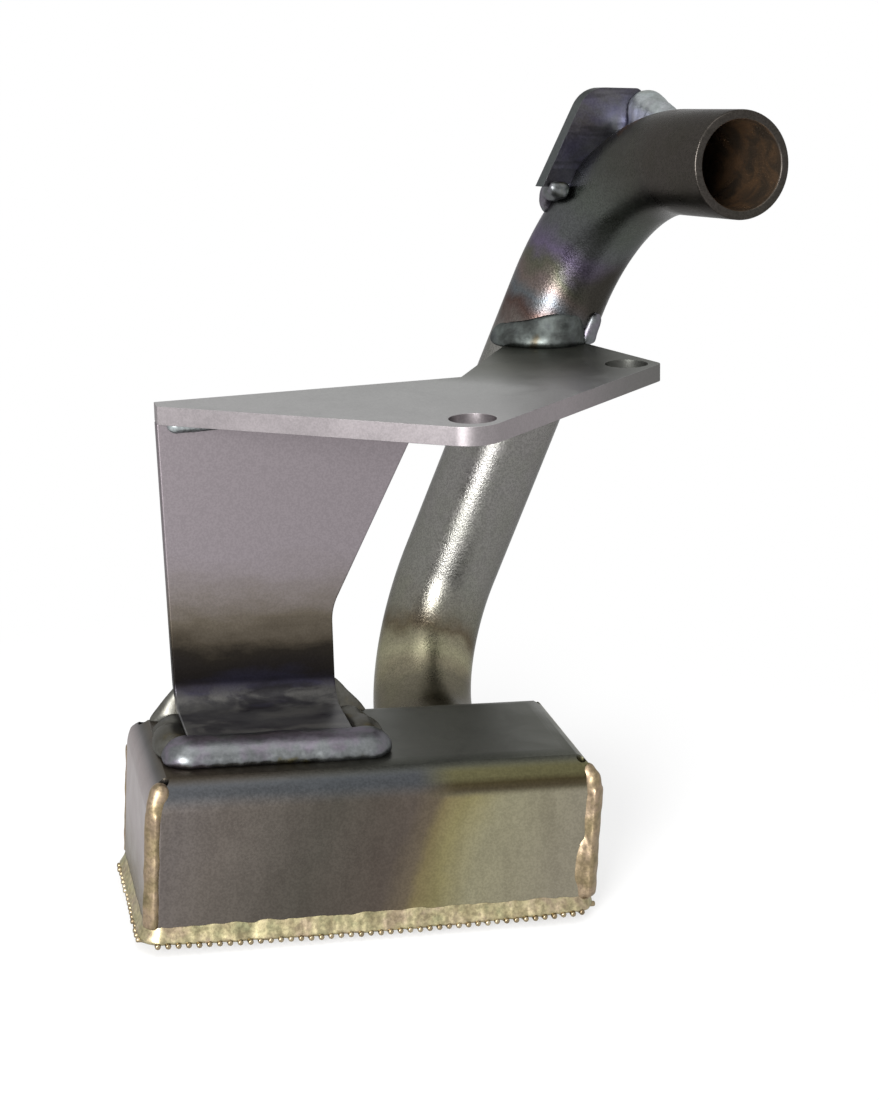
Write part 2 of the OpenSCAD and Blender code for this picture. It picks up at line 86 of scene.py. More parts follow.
class Graph:
    """Adds and links the nodes of one shader tree."""

    def __init__(self, tree: bpy.types.NodeTree) -> None:
        """Keeps the tree to work on."""
        self.tree = tree

    def add(self, kind: str, feeds: Optional[dict] = None, **settings: object) -> bpy.types.Node:
        """Adds one node.

        Args:
            kind: the node's type name.
            feeds: socket name or number to a value or an output socket.
            settings: the node's own properties.

        Returns:
            The new node.
        """
        node = self.tree.nodes.new(kind)
        for key, value in settings.items():
            setattr(node, key, value)
        for key, value in (feeds or {}).items():
            self.feed(node.inputs[key], value)
        return node

    def feed(self, socket: Socket, value: Feed) -> None:
        """Links an output to a socket, or sets the socket's own value.

        Args:
            socket: the input to feed.
            value: an output, a number, a vector or a colour.
        """
        if isinstance(value, Socket):
            self.tree.links.new(value, socket)
        elif socket.type == "RGBA" and len(value) == 3:
            socket.default_value = (*value, 1.0)
        else:
            socket.default_value = value

    def place(self) -> Socket:
        """The piece's own coordinates in metres."""
        return self.add("ShaderNodeTexCoord").outputs["Object"]

    def mark(self, name: str) -> Socket:
        """A number stored on the piece's vertices."""
        return self.add("ShaderNodeAttribute", attribute_name=name).outputs["Fac"]

    def axis(self, vector: Feed, letter: str) -> Socket:
        """One coordinate of a vector."""
        return self.add("ShaderNodeSeparateXYZ", {0: vector}).outputs[letter]

    def sum(self, kind: str, a: Feed, b: Feed = 0.0, clamp: bool = False) -> Socket:
        """One step of arithmetic on two numbers."""
        return self.add("ShaderNodeMath", {0: a, 1: b}, operation=kind, use_clamp=clamp).outputs[0]

    def span(self, value: Feed, low: float, high: float, to_low: float = 0.0, to_high: float = 1.0) -> Socket:
        """A number carried smoothly from one range to another, held at the ends."""
        return self.add("ShaderNodeMapRange", {0: value, 1: low, 2: high, 3: to_low, 4: to_high},
                        interpolation_type="SMOOTHSTEP").outputs[0]

    def mix(self, share: Feed, a: Feed, b: Feed, kind: str = "MIX") -> Socket:
        """Two colours mixed by a share."""
        return self.add("ShaderNodeMix", {0: share, 6: a, 7: b}, data_type="RGBA", blend_type=kind).outputs[2]

    def ramp(self, value: Feed, stops: Sequence[tuple[float, Colour]]) -> Socket:
        """A number turned into a colour by its stops.

        Args:
            value: the number, from 0 to 1.
            stops: places and colours in rising order.

        Returns:
            The colour output.
        """
        node = self.add("ShaderNodeValToRGB", {0: value})
        marks = node.color_ramp.elements
        while len(marks) < len(stops):
            marks.new(1.0)
        for mark, (place, colour) in zip(marks, stops):
            mark.position = place
            mark.color = (*colour, 1.0)
        return node.outputs["Color"]

    def noise(self, vector: Feed, scale: float, detail: float = 3.0, rough: float = 0.55) -> Socket:
        """Cloudy noise from 0 to 1."""
        return self.add("ShaderNodeTexNoise", {"Vector": vector, "Scale": scale, "Detail": detail,
                                               "Roughness": rough}).outputs["Fac"]

    def stretch(self, vector: Feed, scale: Colour) -> Socket:
        """Coordinates stretched along each axis."""
        return self.add("ShaderNodeMapping", {"Vector": vector, "Scale": scale}).outputs[0]

    def reach(self, vector: Feed, point: Colour) -> Socket:
        """Distance from a point, in metres."""
        return self.add("ShaderNodeVectorMath", {0: vector, 1: point}, operation="DISTANCE").outputs["Value"]

    def group(self, tree: bpy.types.NodeTree, **feeds: Feed) -> bpy.types.Node:
        """Places a shared group with its own values.

        Args:
            tree: the group.
            feeds: its inputs by name.

        Returns:
            The group's node.
        """
        node = self.add("ShaderNodeGroup", node_tree=tree)
        for key, value in feeds.items():
            self.feed(node.inputs[key], value)
        return node


class Effects:
    """Node groups that several finishes share."""

    def __init__(self) -> None:
        """Builds each group once."""
        self.grain = self._grain()
        self.blotch = self._blotch()

    @staticmethod
    def _start(name: str, inputs: Sequence[tuple[str, str]], outputs: Sequence[tuple[str, str]],
               ) -> tuple[bpy.types.NodeTree, Graph, bpy.types.Node, bpy.types.Node]:
        """A new group with its sockets.

        Args:
            name: the group's name.
            inputs: names and kinds of its inputs.
            outputs: names and kinds of its outputs.

        Returns:
            The tree, its graph, its input node and its output node.
        """
        tree = bpy.data.node_groups.new(name, "ShaderNodeTree")
        for way, sockets in (("INPUT", inputs), ("OUTPUT", outputs)):
            for label, kind in sockets:
                tree.interface.new_socket(name=label, in_out=way, socket_type="NodeSocket" + kind)
        graph = Graph(tree)
        return tree, graph, graph.add("NodeGroupInput"), graph.add("NodeGroupOutput")

    def _grain(self) -> bpy.types.NodeTree:
        """Fine pitted grain of mill-finished steel.

        Returns:
            The group.
        """
        tree, g, into, out = self._start("steel_grain", [("Vector", "Vector"), ("Scale", "Float")],
                                         [("Speckle", "Float"), ("Height", "Float")])
        fine = g.add("ShaderNodeTexNoise", {"Vector": into.outputs["Vector"], "Scale": into.outputs["Scale"],
                                            "Detail": 2.0, "Roughness": 0.6}).outputs["Fac"]
        coarse_scale = g.sum("MULTIPLY", into.outputs["Scale"], 0.31)
        coarse = g.add("ShaderNodeTexNoise", {"Vector": into.outputs["Vector"], "Scale": coarse_scale,
                                              "Detail": 3.0}).outputs["Fac"]
        both = g.sum("ADD", g.sum("MULTIPLY", fine, 0.8), g.sum("MULTIPLY", coarse, 0.2))
        g.feed(out.inputs["Height"], both)
        g.feed(out.inputs["Speckle"], g.span(both, 0.34, 0.66))
        return tree

    def _blotch(self) -> bpy.types.NodeTree:
        """Soft uneven staining.

        Returns:
            The group.
        """
        tree, g, into, out = self._start("stain_blotch", [("Vector", "Vector"), ("Scale", "Float")],
                                         [("Mask", "Float")])
        cloud = g.add("ShaderNodeTexNoise", {"Vector": into.outputs["Vector"], "Scale": into.outputs["Scale"],
                                             "Detail": 5.0, "Roughness": 0.6, "Distortion": 0.6}).outputs["Fac"]
        g.feed(out.inputs["Mask"], g.span(cloud, 0.38, 0.66))
        return tree


EFFECTS = Effects()


@dataclass(frozen=True)
class MetalLook:
    """Numbers that every metal finish needs."""

    rough_low: float = 0.3
    rough_high: float = 0.45
    grain_scale: float = 2600.0
    grain_depth: float = 0.35
    grain_step: float = 0.00003
    edge: float = 0.5


class Finish:
    """One bare-metal finish. A child class gives its colour."""

    name = "metal"
    look = MetalLook()
    made: dict[str, bpy.types.Material] = {}

    def colour(self, g: Graph, at: Socket, speckle: Socket) -> Socket:
        """The finish's colour over the surface."""
        raise NotImplementedError

    def roughness(self, g: Graph, at: Socket, speckle: Socket) -> Socket:
        """The finish's roughness over the surface.

        Args:
            g: the material's graph.
            at: the piece's own coordinates.
            speckle: the grain's light and dark.

        Returns:
            The roughness.
        """
        cloud = g.group(EFFECTS.blotch, Vector=at, Scale=90.0).outputs["Mask"]
        both = g.sum("ADD", g.sum("MULTIPLY", cloud, 0.6), g.sum("MULTIPLY", speckle, 0.4))
        return g.span(both, 0.0, 1.0, self.look.rough_low, self.look.rough_high)

    def metal(self, g: Graph) -> Feed:
        """How metallic the finish is."""
        return 1.0

    def grained(self, g: Graph, share: float, speckle: Feed, base: Feed) -> Socket:
        """A colour with light and dark grain in it."""
        depth = g.span(speckle, 0.0, 1.0, 1.0 - share, 1.0 + share)
        return g.add("ShaderNodeVectorMath", {0: base, "Scale": depth}, operation="SCALE").outputs[0]

    def material(self) -> bpy.types.Material:
        """Builds the material once.

        Returns:
            The finish's material.
        """
        if self.name in Finish.made:
            return Finish.made[self.name]
        made = Finish.made[self.name] = bpy.data.materials.new(self.name + "_finish")
        made.use_nodes = True
        g = Graph(made.node_tree)
        shader = made.node_tree.nodes["Principled BSDF"]
        at = g.place()
        grain = g.group(EFFECTS.grain, Vector=at, Scale=self.look.grain_scale)
        speckle = grain.outputs["Speckle"]
        shader.inputs["Specular Tint"].default_value = (self.look.edge, self.look.edge, self.look.edge, 1.0)
        g.feed(shader.inputs["Metallic"], self.metal(g))
        g.feed(shader.inputs["Base Color"], self.colour(g, at, speckle))
        g.feed(shader.inputs["Roughness"], self.roughness(g, at, speckle))
        bump = g.add("ShaderNodeBump", {"Height": grain.outputs["Height"], "Strength": self.look.grain_depth,
                                        "Distance": self.look.grain_step})
        g.feed(shader.inputs["Normal"], bump.outputs[0])
        return made


class TubeSteel(Finish):
    """Dark mill-finished tube, tinted by heat along its run, rusty inside with that rust darkened as painted
    shade, and with a painted shade patch on its right side near the plate.
    """

    name = "tube_steel"
    look = MetalLook(rough_low=0.26, rough_high=0.37, grain_scale=3000.0, grain_depth=0.7,
                     grain_step=0.00008, edge=0.55)
    length = 0.19
    heat: tuple[tuple[float, Colour], ...] = (
        (0.000, (0.060, 0.053, 0.042)), (0.145, (0.130, 0.118, 0.086)), (0.165, (0.195, 0.174, 0.120)),
        (0.185, (0.255, 0.240, 0.160)), (0.205, (0.205, 0.188, 0.132)), (0.222, (0.105, 0.085, 0.058)),
        (0.245, (0.150, 0.143, 0.120)), (0.290, (0.172, 0.168, 0.155)), (0.420, (0.180, 0.174, 0.168)),
        (0.545, (0.178, 0.172, 0.164)), (0.583, (0.070, 0.044, 0.038)), (0.602, (0.094, 0.103, 0.114)),
        (0.620, (0.125, 0.098, 0.092)), (0.638, (0.082, 0.082, 0.062)), (0.656, (0.110, 0.090, 0.142)),
        (0.685, (0.080, 0.082, 0.086)), (0.745, (0.075, 0.081, 0.074)), (0.860, (0.052, 0.047, 0.042)),
        (1.000, (0.042, 0.037, 0.033)))
    rust_at: Colour = (0.0225, 0.0325, 0.0425)
    # Middle of the painted shade patch on the tube's right side.
    shade_patch_at: Colour = (0.0225, 0.0455, 0.0100)

    def metal(self, g: Graph) -> Feed:
        """Bare outside, rust inside."""
        return g.span(g.mark("inside"), 0.0, 1.0, 1.0, 0.15)

    def colour(self, g: Graph, at: Socket, speckle: Socket) -> Socket:
        """Colour along the run: box weld, bare middle, plate weld, upper bend and dark open end.

        Args:
            g: the material's graph.
            at: the piece's own coordinates.
            speckle: the grain's light and dark.

        Returns:
            The colour.
        """
        cloud = g.noise(at, 75.0, 5.0)
        run = g.sum("ADD", g.mark("run"), g.span(cloud, 0.2, 0.8, -0.0035, 0.0035))
        base = g.ramp(g.sum("DIVIDE", run, self.length), self.heat)
        olive = g.group(EFFECTS.blotch, Vector=at, Scale=150.0).outputs["Mask"]
        base = g.mix(g.sum("MULTIPLY", olive, 0.25), base, g.mix(1.0, base, (0.84, 0.92, 0.76), "MULTIPLY"))
        rust = g.group(EFFECTS.blotch, Vector=at, Scale=190.0).outputs["Mask"]
        patch = g.sum("MULTIPLY", g.span(g.reach(at, self.rust_at), 0.0065, 0.0025), g.span(rust, 0.1, 0.6))
        base = g.mix(g.sum("MULTIPLY", patch, 0.8), base, (0.155, 0.085, 0.038))
        # Painted shade: a dark patch on the tube's right side near the plate stands in for the shade on that
        # side.
        base = g.mix(g.span(g.reach(at, self.shade_patch_at), 0.0125, 0.0065), base, (0.036, 0.033, 0.028))
        # The inside is rust, darkened past its own colour as painted shade for the tube's shaded inside.
        inside = g.mix(rust, (0.024, 0.018, 0.013), (0.060, 0.035, 0.019))
        return g.mix(g.mark("inside"), self.grained(g, 0.16, speckle, base), inside)


class PlateSteel(Finish):
    """Satin cut plate, darker beside the tube: heat tint from the tube's weld together with a painted reflection
    of the dark tube.
    """

    name = "plate_steel"
    look = MetalLook(rough_low=0.38, rough_high=0.46, grain_scale=3200.0, grain_depth=0.25, edge=0.55)
    weld_at: Colour = (0.0126, 0.0492, 0.0)

    def colour(self, g: Graph, at: Socket, speckle: Socket) -> Socket:
        """Pale satin that fades to dark grey-green beside the tube, partly heat tint and partly a painted
        reflection of the dark tube, with pinkish cut edges.

        Args:
            g: the material's graph.
            at: the piece's own coordinates.
            speckle: the grain's light and dark.

        Returns:
            The colour.
        """
        cloud = g.noise(at, 45.0, 4.0)
        away = g.sum("ADD", g.reach(at, self.weld_at), g.span(cloud, 0.2, 0.8, -0.002, 0.002))
        share = g.sum("DIVIDE", away, 0.1)
        # The dark low end of this ramp is partly heat tint and partly a painted reflection of the tube.
        bare = g.ramp(share, [(0.10, (0.070, 0.074, 0.062)), (0.31, (0.165, 0.168, 0.150)),
                              (0.39, (0.235, 0.238, 0.224)), (0.48, (0.395, 0.397, 0.390)),
                              (1.0, (0.435, 0.428, 0.428))])
        cut = g.ramp(share, [(0.30, (0.120, 0.122, 0.112)), (0.46, (0.190, 0.180, 0.180)),
                             (0.60, (0.265, 0.242, 0.249))])
        return self.grained(g, 0.06, speckle, g.mix(g.mark("rim"), bare, cut))


class WebSteel(Finish):
    """Mauve-grey satin web that turns brown, then black, towards its heated fold and foot."""

    name = "web_steel"
    look = MetalLook(rough_low=0.36, rough_high=0.48, grain_scale=3000.0, grain_depth=0.3, edge=0.4)
    heat_low = -0.062
    heat_high = -0.030

    def colour(self, g: Graph, at: Socket, speckle: Socket) -> Socket:
        """Colour by height above the foot: heat tint, with a narrow painted bluish glint along the fold.

        Args:
            g: the material's graph.
            at: the piece's own coordinates.
            speckle: the grain's light and dark.

        Returns:
            The colour.
        """
        cloud = g.noise(g.stretch(at, (0.35, 1.0, 1.0)), 210.0, 5.0)
        height = g.sum("ADD", g.axis(at, "Z"), g.span(cloud, 0.2, 0.8, -0.0022, 0.0022))
        share = g.sum("DIVIDE", g.sum("SUBTRACT", height, self.heat_low), self.heat_high - self.heat_low)
        # The bluish stop at 0.24 is a painted glint along the fold; the other stops are heat tint.
        base = g.ramp(share, [(0.0, (0.046, 0.046, 0.045)), (0.14, (0.034, 0.033, 0.034)),
                              (0.19, (0.016, 0.015, 0.017)), (0.24, (0.028, 0.026, 0.040)),
                              (0.32, (0.022, 0.019, 0.018)), (0.42, (0.026, 0.022, 0.018)),
                              (0.50, (0.066, 0.055, 0.041)), (0.60, (0.115, 0.098, 0.076)),
                              (0.74, (0.178, 0.156, 0.148)), (0.88, (0.215, 0.190, 0.198)),
                              (1.0, (0.226, 0.200, 0.213))])
        mottle = g.group(EFFECTS.blotch, Vector=g.stretch(at, (0.5, 1.0, 1.0)), Scale=230.0).outputs["Mask"]
        foot = g.sum("MULTIPLY", g.span(g.axis(at, "Z"), -0.0535, -0.0565), g.span(mottle, 0.0, 1.0, 0.0, 0.8))
        return self.grained(g, 0.07, speckle, g.mix(foot, base, (0.070, 0.068, 0.064)))

    def roughness(self, g: Graph, at: Socket, speckle: Socket) -> Socket:
        """Satin above, smoother on the scaled foot."""
        return g.span(g.axis(at, "Z"), -0.058, -0.044, 0.36, 0.42)

    def metal(self, g: Graph) -> Feed:
        """Bare steel above, dark scale on the foot."""
        return g.span(g.axis(g.place(), "Z"), -0.0575, -0.0545, 0.25, 1.0)


class BoxSheet(Finish):
    """Folded sheet with brown, gold and olive heat tint across its front, a painted dark reflection on its top
    and a painted bright reflection on its end wall.
    """

    name = "box_sheet"
    look = MetalLook(rough_low=0.36, rough_high=0.46, grain_scale=2400.0, grain_depth=0.3, edge=0.9)
    left = -0.0702
    length = 0.077
    top = -0.0607
    lean = -0.305
    fold = 0.006

    def colour(self, g: Graph, at: Socket, speckle: Socket) -> Socket:
        """Front, top and end walls each have their own colour: heat tint, with the top painted darker as a
        painted dark reflection and the end wall's upper part painted pale as a painted reflection of bright
        light.

        Args:
            g: the material's graph.
            at: the piece's own coordinates.
            speckle: the grain's light and dark.

        Returns:
            The colour.
        """
        x, z = (g.axis(at, letter) for letter in "XZ")
        cloud = g.noise(at, 70.0, 5.0, 0.6)
        lean = g.sum("MULTIPLY", g.sum("SUBTRACT", z, self.top), self.lean)
        along = g.sum("ADD", g.sum("ADD", x, lean), g.span(cloud, 0.2, 0.8, -0.0012, 0.0012))
        share = g.sum("DIVIDE", g.sum("SUBTRACT", along, self.left), self.length)
        front = g.ramp(share, [(0.0, (0.143, 0.125, 0.110)), (0.10, (0.130, 0.114, 0.106)),
                               (0.20, (0.124, 0.108, 0.095)), (0.42, (0.081, 0.073, 0.061)),
                               (0.60, (0.090, 0.074, 0.062)), (0.655, (0.122, 0.098, 0.068)),
                               (0.678, (0.180, 0.148, 0.076)), (0.72, (0.222, 0.197, 0.097)),
                               (0.80, (0.250, 0.234, 0.154)), (1.0, (0.228, 0.208, 0.157))])
        streak = g.noise(g.stretch(at, (1.0, 1.0, 0.3)), 260.0, 4.0, 0.6)
        dull = g.mix(1.0, front, (0.66, 0.64, 0.64), "MULTIPLY")
        front = g.mix(g.span(streak, 0.40, 0.72, 0.0, 0.38), front, dull)
        # Painted reflection: the top is kept darker than the front, standing in for the dark surroundings it
        # reflects; the brown at its left end is heat tint.
        top = g.ramp(g.sum("DIVIDE", g.sum("SUBTRACT", x, self.left), self.length),
                     [(0.0, (0.056, 0.045, 0.031)), (0.2, (0.064, 0.054, 0.041)), (0.55, (0.070, 0.072, 0.062)),
                      (1.0, (0.083, 0.085, 0.070))])
        bent = g.sum("MULTIPLY", g.span(z, self.top - 0.0055, self.top - 0.0025), 0.85)
        steel_fold = g.mix(bent, front, (0.047, 0.053, 0.060))
        down = g.sum("DIVIDE", g.sum("SUBTRACT", self.top, z), self.fold)
        gold = g.ramp(down, [(0.04, (0.050, 0.047, 0.028)), (0.18, (0.086, 0.080, 0.040)),
                             (0.42, (0.100, 0.092, 0.046)), (0.58, (0.050, 0.040, 0.020)),
                             (0.72, (0.058, 0.047, 0.028)), (0.90, (0.130, 0.116, 0.078))])
        gold_fold = g.mix(g.span(z, self.top - self.fold, self.top - 0.0046), front, gold)
        front = g.mix(g.span(x, -0.026, -0.018), steel_fold, gold_fold)
        # Painted reflection: the end wall's upper part is pale grey, standing in for bright light from the left;
        # the brown lower part is heat tint.
        end = g.mix(g.span(z, self.top - 0.026, self.top - 0.012), (0.100, 0.078, 0.045), (0.265, 0.232, 0.230))
        wall = g.mix(g.span(x, self.left + 0.0003, self.left + 0.0025), end, front)
        return self.grained(g, 0.08, speckle, g.mix(g.span(z, self.top - 0.0018, self.top - 0.0002), wall, top))


class TabSteel(Finish):
    """Dark blued plate with paler cut edges and painted shadow bands."""

    name = "tab_steel"
    look = MetalLook(rough_low=0.30, rough_high=0.42, grain_scale=2600.0, grain_depth=0.3, edge=0.3)

    def colour(self, g: Graph, at: Socket, speckle: Socket) -> Socket:
        """Blue-black face with slanting painted shadow and reflection bands and paler cut edges.

        Args:
            g: the material's graph.
            at: the piece's own coordinates.
            speckle: the grain's light and dark.

        Returns:
            The colour.
        """
        bloom = g.group(EFFECTS.blotch, Vector=at, Scale=70.0).outputs["Mask"]
        face = g.mix(bloom, (0.108, 0.105, 0.113), (0.104, 0.096, 0.152))
        slant = g.add("ShaderNodeMapping", {"Vector": at, "Rotation": (0.0, -0.55, 0.0),
                                            "Scale": (0.16, 0.16, 1.0)})
        # Painted shade: slanting dark bands stand in for shadows and reflections on the face.
        painted_shade_band = g.span(g.noise(slant.outputs[0], 420.0, 2.0), 0.46, 0.56)
        face = g.mix(g.sum("MULTIPLY", painted_shade_band, 0.65), face, (0.056, 0.053, 0.061))
        return self.grained(g, 0.10, speckle, g.mix(g.mark("rim"), face, (0.130, 0.138, 0.138)))


class WeldMetal(Finish):
    """Smooth silver bead with lavender, cyan and a little olive bloom."""

    name = "weld_metal"
    look = MetalLook(rough_low=0.34, rough_high=0.46, grain_scale=1800.0, grain_depth=0.2, edge=0.5)
    tints: tuple[tuple[float, Colour], ...] = (
        (0.28, (0.095, 0.086, 0.042)), (0.34, (0.125, 0.132, 0.132)), (0.48, (0.138, 0.145, 0.150)),
        (0.60, (0.165, 0.148, 0.178)), (0.72, (0.112, 0.120, 0.126)))
    soot: Colour = (0.070, 0.068, 0.070)
    soot_share = 0.35

    def colour(self, g: Graph, at: Socket, speckle: Socket) -> Socket:
        """Silver with drifting tints and darker patches.

        Args:
            g: the material's graph.
            at: the piece's own coordinates.
            speckle: the grain's light and dark.

        Returns:
            The colour.
        """
        tints = g.ramp(g.noise(at, 170.0, 3.0), self.tints)
        dark = g.group(EFFECTS.blotch, Vector=at, Scale=200.0).outputs["Mask"]
        tinted = g.mix(g.sum("MULTIPLY", dark, self.soot_share), tints, self.soot)
        return self.grained(g, 0.08, speckle, tinted)


class SootyWeld(WeldMetal):
    """A bead darkened by the heat of the next one."""

    name = "sooty_weld"
    tints = ((0.28, (0.120, 0.102, 0.060)), (0.42, (0.100, 0.096, 0.082)), (0.58, (0.125, 0.124, 0.112)),
             (0.72, (0.088, 0.084, 0.074)))
    soot = (0.050, 0.045, 0.036)


class GlossyWeld(WeldMetal):
    """The tube's own bead: teal-grey and glossy, with dark pools."""

    name = "glossy_weld"
    look = MetalLook(rough_low=0.32, rough_high=0.46, grain_scale=1500.0, grain_depth=0.2, edge=0.5)
    tints = ((0.30, (0.050, 0.044, 0.032)), (0.40, (0.070, 0.078, 0.074)), (0.55, (0.105, 0.117, 0.112)),
             (0.70, (0.080, 0.086, 0.090)))
    soot = (0.022, 0.021, 0.020)
    soot_share = 0.6


class PaleWeld(WeldMetal):
    """Clean pale beads on the tab and the plate's tacks."""

    name = "pale_weld"
    tints = ((0.30, (0.29, 0.30, 0.275)), (0.48, (0.37, 0.41, 0.41)), (0.62, (0.41, 0.43, 0.45)),
             (0.72, (0.31, 0.34, 0.34)))
    soot = (0.19, 0.19, 0.18)
    soot_share = 0.3


class Braze(Finish):
    """Gold to rose braze with greenish flux bloom."""

    name = "braze"
    look = MetalLook(rough_low=0.38, rough_high=0.52, grain_scale=1500.0, grain_depth=0.4,
                     grain_step=0.00006, edge=0.8)
    golds: tuple[tuple[float, Colour], ...] = (
        (0.28, (0.26, 0.26, 0.150)), (0.42, (0.34, 0.305, 0.178)), (0.52, (0.385, 0.335, 0.205)),
        (0.62, (0.36, 0.290, 0.200)), (0.75, (0.265, 0.220, 0.140)))
    brown: Colour = (0.14, 0.105, 0.060)
    brown_share = 0.45

    def colour(self, g: Graph, at: Socket, speckle: Socket) -> Socket:
        """Gold that drifts to rose and yellow-green.

        Args:
            g: the material's graph.
            at: the piece's own coordinates.
            speckle: the grain's light and dark.

        Returns:
            The colour.
        """
        gold = g.ramp(g.noise(at, 260.0, 4.0), self.golds)
        dark = g.group(EFFECTS.blotch, Vector=at, Scale=560.0).outputs["Mask"]
        tinted = g.mix(g.sum("MULTIPLY", dark, self.brown_share), gold, self.brown)
        return self.grained(g, 0.14, speckle, tinted)


class SeamBraze(Braze):
    """The corner seams: soft peach braze with brown patches."""

    name = "seam_braze"
    golds = ((0.28, (0.18, 0.148, 0.080)), (0.44, (0.255, 0.198, 0.120)), (0.58, (0.285, 0.215, 0.150)),
             (0.74, (0.205, 0.165, 0.092)))
    brown = (0.15, 0.118, 0.075)
    brown_share = 0.3


class ScreenWire(Finish):
    """Woven wire, straw tinted, with browner patches."""

    name = "screen_wire"
    look = MetalLook(rough_low=0.28, rough_high=0.45, grain_scale=1500.0, grain_depth=0.2, edge=0.7)

    def colour(self, g: Graph, at: Socket, speckle: Socket) -> Socket:
        """Straw wire with browner patches."""
        return g.ramp(g.noise(at, 300.0, 3.0), [(0.3, (0.15, 0.110, 0.065)), (0.5, (0.28, 0.225, 0.140)),
                                               (0.7, (0.40, 0.345, 0.245))])


def adopt(piece: bpy.types.Object, finish: Finish, slot: Slot, *nodes: str) -> bpy.types.Object:
    """Gives a piece its finish and seats it in the frame.

    Args:
        piece: the new piece.
        finish: its finish.
        slot: the record's slot for it; not used.
        nodes: the CAD nodes that it stands for.

    Returns:
        The piece.
    """
    piece.data.materials.clear()
    piece.data.materials.append(finish.material())
    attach(piece, BODY)
    if nodes:
        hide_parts(*nodes)
    LOG.info("%s: %d faces", piece.name, len(piece.data.polygons))
    return piece


def shown(bm: bmesh.types.BMesh, name: str, sharp_deg: float = 38.0) -> bpy.types.Object:
    """Turns a bmesh into a smooth-shaded piece in the scene.

    Args:
        bm: the shape, which is freed.
        name: the piece's name.
        sharp_deg: edges that turn more than this stay sharp.

    Returns:
        The new object.
    """
    mesh = bpy.data.meshes.new(name)
    bm.to_mesh(mesh)
    bm.free()
    mesh.shade_smooth()
    mesh.set_sharp_from_angle(angle=math.radians(sharp_deg))
    piece = bpy.data.objects.new(name, mesh)
    bpy.context.scene.collection.objects.link(piece)
    return piece


def node_copy(node: str) -> bmesh.types.BMesh:
    """A CAD node's shape with its loose triangles joined.

    Args:
        node: the node's name.

    Returns:
        The shape, in millimetres.
    """
    bm = bmesh.new()
    bm.from_mesh(NODES[node].data)
    bmesh.ops.scale(bm, vec=Vector((1, 1, 1)) / MM, verts=bm.verts)
    bmesh.ops.remove_doubles(bm, verts=bm.verts, dist=0.0005)
    return bm


def to_metres(bm: bmesh.types.BMesh) -> None:
    """Brings a shape drawn in millimetres to the frame's metres."""
    bmesh.ops.scale(bm, vec=Vector((MM, MM, MM)), verts=bm.verts)


@dataclass
class EasedSheet:
    """A cut or folded sheet part with its sharp edges eased.

    Fields: node it stands for, piece name, finish, slot, ease of its edges in millimetres, the angle below
    which faces count as flat, the angles above which edges are eased and shaded sharp, and the most that a rim
    face's normal agrees with the broad face's.
    """

    node: str
    name: str
    finish: Finish
    slot: Slot
    ease: float = 0.3
    flat_deg: float = 0.4
    eased_deg: float = 40.0
    sharp_deg: float = 50.0
    rim_turn: float = 0.9

    def build(self) -> bpy.types.Object:
        """Eases the node's sharp edges and marks them for the finish.

        Returns:
            The dressed piece.
        """
        bm = node_copy(self.node)
        bmesh.ops.dissolve_limit(bm, angle_limit=math.radians(self.flat_deg), verts=bm.verts, edges=bm.edges)
        sharp = [e for e in bm.edges if e.is_manifold and e.calc_face_angle() > math.radians(self.eased_deg)]
        bmesh.ops.bevel(bm, geom=sharp, offset=self.ease, offset_type="OFFSET", segments=2, profile=0.5,
                        affect="EDGES", clamp_overlap=True, material=-1)
        bm.normal_update()
        mark = bm.faces.layers.float.new("rim")
        broad = max(bm.faces, key=lambda face: face.calc_area()).normal.copy()
        for face in bm.faces:
            face[mark] = 1.0 if abs(face.normal.dot(broad)) < self.rim_turn else 0.0
        to_metres(bm)
        piece = shown(bm, self.name, self.sharp_deg)
        even = piece.modifiers.new("even_shading", "WEIGHTED_NORMAL")
        even.keep_sharp = True
        return adopt(piece, self.finish, self.slot, self.node)


